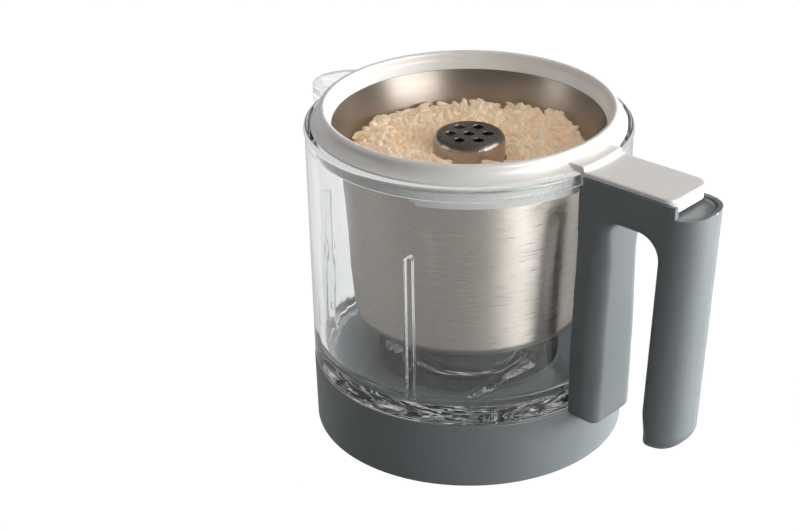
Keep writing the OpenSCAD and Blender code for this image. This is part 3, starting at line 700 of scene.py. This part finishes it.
def glass_points():
    """Sections of the bowl: floor, fillet, inner wall, rim, outer wall, foot and neck.

    The ribs, the vanes and the spout are pushed out of those."""
    g = GLASS
    low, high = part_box("glass_bowl")
    rim_r, rim_z, tip = high.y / MM, high.z / MM, -low.x / MM
    neck_z = low.z / MM
    angle = glass_angles()[:, None]
    ones = np.ones_like(angle)
    parts = []

    def add(r, z):
        parts.append((np.broadcast_to(r, (len(angle), np.shape(r)[-1])) * ones,
                      np.broadcast_to(z, (len(angle), np.shape(z)[-1])) * ones))

    # floor with its vanes
    outer_floor = np.linspace(29, g["bore_foot"] - g["fillet"], 34)
    r = np.concatenate([[g["hole"], 14, 18, 22, 26], outer_floor])[None, :]
    add(r, g["floor_z"] + vane_height(r * np.cos(angle), r * np.sin(angle)))
    # fillet and wall with the ribs
    fr, fz = arc(g["bore_foot"] - g["fillet"], g["floor_z"] + g["fillet"], g["fillet"], -86, 0, 14)
    fr, fz = fr[None, :], fz[None, :]
    raised = vane_height(fr * np.cos(angle), fr * np.sin(angle))
    add(np.minimum(fr, rib_limit(angle, fz, fr)), np.maximum(fz, g["floor_z"] + raised))
    top = g["rib_top"]
    wz = np.concatenate([np.linspace(48, top - 4, 14), np.linspace(top - 3, top + 0.5, 15),
                         np.linspace(top + 3, g["ledge_z"], 8)])[None, :]
    share = (wz - 44.5) / (g["ledge_z"] - 44.5)
    wr = g["bore_foot"] + (g["bore_ledge"] - g["bore_foot"]) * share
    add(np.minimum(wr, rib_limit(angle, wz, wr)), wz)

    # rim, and the spout's channel cut through it
    outline = spout_reach(angle, g["spout_w"], tip)
    outer_top = np.maximum(rim_r, outline)
    lip = g["lip"]
    on_spout = smooth_step((outer_top - rim_r) / 4)
    ir, iz = arc(g["bore_top"] + lip, rim_z - lip, lip, 180, 90, 7)
    inner_r = np.concatenate([[g["bore_top"] - 0.1, g["bore_top"], g["bore_top"]], ir])[None, :]
    inner_z = np.concatenate([[g["ledge_z"], 134.5, 137], iz])[None, :]
    across_top = np.linspace(0, 1, 22)[None, 1:-1]
    start, end = g["bore_top"] + lip, outer_top - lip
    deck_r = start + (end - start) * across_top
    lip_r, lip_z = arc(0, rim_z - lip, lip, 90, 0, 7)
    rim_rs = np.concatenate([inner_r * ones, deck_r, end + lip_r[None, :]], 1)
    rim_zs = np.concatenate([inner_z * ones, rim_z * np.ones_like(deck_r), lip_z[None, :] * ones], 1)
    x = rim_rs * np.abs(np.cos(angle))
    rim_zs = rim_zs - on_spout * (0.3 + g["spout_droop"] * np.clip(x - rim_r, 0, None)) * (x > start)
    channel = spout_reach(angle, g["channel_w"], tip - g["spout_lip"])
    lip_x = tip - g["spout_lip"]
    bed = np.interp(x, [60, 70, lip_x - 1.5, lip_x + 3], [133.4, 134.2, 137.2, 141.6])
    within = smooth_step((channel - rim_rs) / 1.2)
    beside = smooth_step((g["channel_w"] + 0.6 - rim_rs * np.abs(np.sin(angle))) / 1.2)
    cut = np.minimum(rim_zs, bed)
    add(rim_rs, rim_zs + (cut - rim_zs) * within * beside)

    # outer wall, with the spout's underside
    oz = np.concatenate([[g["bead_z"], g["bead_z"] - 0.4],
                         np.linspace(g["bead_z"] - 1, g["spout_root_z"] - 1, 21),
                         np.linspace(g["spout_root_z"] - 6, 36, 9), [33.5]])[None, :]
    wall = g["foot"] + (rim_r - 0.5 - g["foot"]) * (oz - 31.5) / (g["bead_z"] - 0.4 - 31.5)
    wall = np.where(oz >= g["bead_z"], rim_r, wall)
    slope = 69.3 + (oz - g["spout_root_z"]) * (tip - 1.5 - 69.3) / (g["spout_tip_z"] - g["spout_root_z"])
    add(np.maximum(wall, np.minimum(outline, slope)), oz)

    # foot, underside and the neck that the clamp holds
    foot_r, foot_z = arc(g["foot"] - 0.8, g["under_z"] + 0.8, 0.8, 0, -90, 5)
    add(foot_r[None, :], foot_z[None, :])
    neck = np.array([[55, g["under_z"]], [42, g["under_z"]], [30, g["under_z"]], [30, neck_z + 3],
                     [32.2, neck_z + 3], [32.5, neck_z + 2.7], [32.5, neck_z + 0.3], [32.2, neck_z],
                     [27, neck_z], [27, g["under_z"]], [g["hole"], g["under_z"]]])
    add(neck[None, :, 0], neck[None, :, 1])

    r = np.concatenate([p[0] for p in parts], 1)
    z = np.concatenate([p[1] for p in parts], 1)
    return np.stack([r * np.cos(angle), r * np.sin(angle), z], -1)


def make_glass():
    mesh = grid_mesh("glass_bowl_fine", glass_points())
    return stand_in("glass_bowl_fine", mesh, "glass_bowl", "jug", sharp_deg=50)


# ---------------------------------------------------------------- rice, a stage prop

def grain_shape(rings=7, sides=8):
    """A grain 2 long and 2 wide, pointed at its ends, as points and faces."""
    points, faces = [(0, 0, -1)], []
    for i in range(1, rings):
        t = -1 + 2 * i / rings
        width = (1 - abs(t) ** 4) ** 0.5
        points += [(width * math.cos(TURN * k / sides), width * math.sin(TURN * k / sides), t)
                   for k in range(sides)]
    points.append((0, 0, 1))
    last = len(points) - 1
    for k in range(sides):
        n = (k + 1) % sides
        faces.append((0, 1 + n, 1 + k))
        faces.append((last, last - sides + k, last - sides + n))
    for i in range(rings - 2):
        for k in range(sides):
            n = (k + 1) % sides
            a, b = 1 + i * sides, 1 + (i + 1) * sides
            faces.append((a + k, a + n, b + n))
            faces.append((a + k, b + n, b + k))
    return np.array(points), np.array(faces)


def rice_top(x, y):
    """Height of the rice's heaped, uneven top, mm."""
    r = np.hypot(x, y)
    waves = 1.3 * np.sin(x / 7.0 + 1.0) * np.cos(y / 8.0) + 0.8 * np.sin((x + y) / 4.5)
    return 126 + 1.5 * np.cos((r - 34) / 11) + waves


def make_rice():
    """Seeded heap of cooked grains over a lumpy bed. Food, so it isn't part of the object."""
    rng = np.random.default_rng(7)
    count = 1450
    pot_r, tube_r = 51.8, 18.0
    r = np.sqrt(rng.uniform(tube_r ** 2, pot_r ** 2, count))
    a = rng.uniform(0, TURN, count)
    x, y = r * np.cos(a), r * np.sin(a)
    z = rice_top(x, y) + rng.uniform(-2.6, 1.2, count)
    length = rng.uniform(3.0, 4.4, count)
    width = rng.uniform(0.95, 1.25, count)
    lean = np.clip(np.abs(rng.normal(0, 0.5, count)), 0, 1.3)
    spin = rng.uniform(0, TURN, count)
    spin = np.where(r > pot_r - 3.5, a + TURN / 4 + rng.normal(0, 0.3, count), spin)
    axis = np.stack([np.cos(spin) * np.cos(lean), np.sin(spin) * np.cos(lean), np.sin(lean)], -1)
    side = np.stack([-np.sin(spin), np.cos(spin), np.zeros(count)], -1)
    up = np.cross(axis, side)
    shape, faces = grain_shape()
    bend = 0.35 * (1 - shape[:, 2] ** 2)
    local = (side[:, None, :] * shape[:, 0][None, :, None] * width[:, None, None]
             + up[:, None, :] * (shape[:, 1] + bend)[None, :, None] * width[:, None, None]
             + axis[:, None, :] * shape[:, 2][None, :, None] * length[:, None, None])
    points = local + np.stack([x, y, z], -1)[:, None, :]
    all_faces = (faces[None] + (np.arange(count) * len(shape))[:, None, None]).reshape(-1, 3)
    mesh = bpy.data.meshes.new("rice_grains")
    mesh.from_pydata((points.reshape(-1, 3) * MM).tolist(), [], all_faces.tolist())
    tone = mesh.attributes.new("tone", "FLOAT", "POINT")
    shade_of = np.clip(rng.normal(0.35, 0.28, count), 0, 1)
    tone.data.foreach_set("value", np.repeat(shade_of, len(shape)).astype(np.float32))
    grains = new_piece("rice_grains", mesh, sharp_deg=180)
    grains.data.materials.append(cooked_rice("cooked_rice"))

    rings, sides = 14, 96
    bed = []
    for i in range(rings + 1):
        rr = tube_r - 2 + (pot_r + 1.2 - tube_r + 2) * i / rings
        for k in range(sides):
            px, py = rr * math.cos(TURN * k / sides), rr * math.sin(TURN * k / sides)
            bed.append((px * MM, py * MM, (float(rice_top(px, py)) - 2.6) * MM))
    bed_faces = [(i * sides + k, (i + 1) * sides + k,
                  (i + 1) * sides + (k + 1) % sides, i * sides + (k + 1) % sides)
                 for i in range(rings) for k in range(sides)]
    bed_mesh = bpy.data.meshes.new("rice_bed")
    bed_mesh.from_pydata(bed, [], bed_faces)
    base = new_piece("rice_bed", bed_mesh, sharp_deg=180)
    base.data.materials.append(grains.data.materials[0])
    for piece in (grains, base):
        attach(piece, "insert")


# ---------------------------------------------------------------- studio

# The floor's own light, how much of it shows straight and in mirrors, and the radius of the painted shade
# under the jug
FLOOR_GLOW, FLOOR_SEEN, FLOOR_MIRRORED = 1.04, 0.965, 0.3
UNDER_JUG_R = 66 * MM


def add_floor():
    """Pale floor that stays close to white to the eye and keeps a faint contact shadow."""
    s = Shader("studio_floor")
    s.set(Base_Color=s.mix(s.noise(300), 0.33, 0.36), Roughness=0.6)
    path = s.node("ShaderNodeLightPath").outputs
    glow = s.node("ShaderNodeEmission", {"Color": rgba(1, 1, 1), "Strength": FLOOR_GLOW})
    bounced = s.math("ADD", path["Glossy Depth"], path["Diffuse Depth"])
    straight = s.math("MAXIMUM", s.math("LESS_THAN", bounced, NO_BOUNCE),
                      s.math("LESS_THAN", path["Transmission Depth"], ONE_GLASS_WALL))
    seen = s.math("MAXIMUM", path["Is Camera Ray"], path["Is Transmission Ray"])
    seen = s.math("MULTIPLY", s.math("MULTIPLY", seen, straight), FLOOR_SEEN)
    mirrored = s.math("MULTIPLY", s.math("SUBTRACT", 1.0, path["Is Diffuse Ray"]), FLOOR_MIRRORED)
    # Painted shade: under the jug, near the axis, the floor gives off no glow and stays dark.
    clear_of_jug = s.math("GREATER_THAN", s.radius(), UNDER_JUG_R)
    white = s.math("MULTIPLY", s.math("MAXIMUM", seen, mirrored), clear_of_jug)
    s.put(s.output.inputs["Surface"], s.blend(white, s.bsdf, glow).outputs[0])
    size = 6.0
    mesh = bpy.data.meshes.new("floor")
    corners = [(-size, -size, 0), (size, -size, 0), (size, size, 0), (-size, size, 0)]
    mesh.from_pydata(corners, [], [(0, 1, 2, 3)])
    floor = new_piece("floor", mesh)
    floor.location.z = cad_low.z
    floor.data.materials.append(s.material)
    return floor


def add_world(right):
    """Soft surroundings: white to the eye, and for lighting and mirrors dimmer on the left."""
    world = bpy.data.worlds.new("studio")
    bpy.context.scene.world = world
    world.use_nodes = True
    tree = world.node_tree
    tree.nodes.clear()

    def node(kind, inputs, **settings):
        made = tree.nodes.new(kind)
        for key, value in settings.items():
            setattr(made, key, value)
        for socket, value in zip(made.inputs, inputs):
            if isinstance(value, bpy.types.NodeSocket):
                tree.links.new(value, socket)
            else:
                socket.default_value = value
        return made

    coords, path = node("ShaderNodeTexCoord", []), node("ShaderNodeLightPath", []).outputs
    towards_right = node("ShaderNodeVectorMath", [coords.outputs["Generated"], right],
                         operation="DOT_PRODUCT")
    level = node("ShaderNodeMapRange", [towards_right.outputs["Value"], -0.9, 0.9, 0.05, 0.2])
    seen = node("ShaderNodeMath", [path["Is Camera Ray"], path["Is Transmission Ray"]],
                operation="MAXIMUM")
    bounced = node("ShaderNodeMath", [path["Glossy Depth"], path["Diffuse Depth"]], operation="ADD")
    unbounced = node("ShaderNodeMath", [bounced.outputs[0], NO_BOUNCE], operation="LESS_THAN")
    shallow = node("ShaderNodeMath", [path["Transmission Depth"], ONE_GLASS_WALL], operation="LESS_THAN")
    straight = node("ShaderNodeMath", [unbounced.outputs[0], shallow.outputs[0]], operation="MAXIMUM")
    white = node("ShaderNodeMath", [seen.outputs[0], straight.outputs[0]], operation="MULTIPLY")
    strength = node("ShaderNodeMath", [level.outputs[0], white.outputs[0]], operation="MAXIMUM")
    back = node("ShaderNodeBackground", [(1, 1, 1, 1), strength.outputs[0]])
    node("ShaderNodeOutputWorld", [back.outputs[0]])


JUG_MIDDLE, LAMP_DISTANCE = Vector((0, 0, 0.075)), 1.1


def left_out(name, pieces):
    """A collection for light linking that leaves these pieces out."""
    linked = bpy.data.collections.new(name)
    for piece in pieces:
        linked.objects.link(piece)
    for entry in linked.collection_objects:
        entry.light_linking.link_state = "EXCLUDE"
    return linked


def add_area(name, azimuth_deg, elevation_deg, size, power, mirrored=False, skipped=(), passed=()):
    """Soft box at a compass angle from +X round the jug, facing it.

    It either lights things or shows in them. It leaves the skipped pieces alone and isn't hidden by
    the passed ones."""
    a, e = math.radians(azimuth_deg), math.radians(elevation_deg)
    away = Vector((math.cos(a) * math.cos(e), math.sin(a) * math.cos(e), math.sin(e)))
    light = bpy.data.lights.new(name, "AREA")
    light.shape, light.size, light.size_y = "RECTANGLE", *size
    light.energy = power
    lamp = bpy.data.objects.new(name, light)
    lamp.visible_diffuse = not mirrored
    lamp.visible_glossy = lamp.visible_transmission = mirrored
    if skipped:
        lamp.light_linking.receiver_collection = left_out(name + "_skips", skipped)
    if passed:
        lamp.light_linking.blocker_collection = left_out(name + "_passes", passed)
    lamp.location = JUG_MIDDLE + away * LAMP_DISTANCE
    lamp.rotation_euler = away.to_track_quat("Z", "Y").to_euler()
    bpy.context.scene.collection.objects.link(lamp)


def add_camera():
    """Long lens aimed at the jug from the front, shifted so that the jug stands right of the middle.

    Gives back the way to the right in the picture."""
    azimuth, elevation, distance = math.radians(40), math.radians(27.1), 0.8753
    back = Vector((math.sin(azimuth) * math.cos(elevation), -math.cos(azimuth) * math.cos(elevation),
                   math.sin(elevation)))
    data = bpy.data.cameras.new("camera")
    data.lens, data.sensor_width = 90.07, 36.0
    data.shift_x, data.shift_y = -0.0863, -0.0106
    camera = bpy.data.objects.new("camera", data)
    bpy.context.scene.collection.objects.link(camera)
    camera.location = JUG_MIDDLE + back * distance
    camera.rotation_euler = back.to_track_quat("Z", "Y").to_euler()
    bpy.context.scene.camera = camera
    return Vector((math.cos(azimuth), math.sin(azimuth), 0))


def add_studio(steel, handle, clear_of_sheen):
    """Camera, surroundings and soft boxes. Some boxes light the jug, others show in it."""
    bpy.context.scene.view_settings.view_transform = "Standard"
    add_world(add_camera())
    floor = add_floor()
    add_area("key", 64, 5, (1.0, 0.4), 48, skipped=[floor])
    add_area("front_fill", -2, 8, (0.6, 1.0), 11)
    add_area("left_fill", -170, 12, (0.6, 0.8), 5)
    add_area("top_fill", 0, 85, (1.0, 1.0), 3)
    add_area("sheen_front", 1, 4, (0.9, 0.8), 25, mirrored=True, passed=[handle])
    add_area("sheen_right", 32, 28, (0.95, 0.7), 4.5, mirrored=True, skipped=steel[:1])
    add_area("sheen_left", -133, 8, (0.4, 1.0), 2.5, mirrored=True)
    add_area("plastic_sheen", 40, 8, (0.9, 0.7), 46, mirrored=True, skipped=steel + clear_of_sheen)


# ---------------------------------------------------------------- build

for node_name, cad_object in frame["nodes"].items():
    paint(cad_object, SLOT_OF[node_name])

glass_piece = make_glass()
handle_piece = make_handle()
ring_piece = make_ring()
make_rice()
for node_name, bevel in (("base_collar", 0.3), ("handle_inset", 0.35)):
    refined(node_name, node_name + "_fine", bevel, "jug")
steel_pieces = [refined(node_name, node_name + "_fine", bevel, "insert")
                for node_name, bevel in (("insert_pot", 0), ("steam_chimney", 0.2))]
add_studio(steel_pieces, handle_piece, [glass_piece, ring_piece])
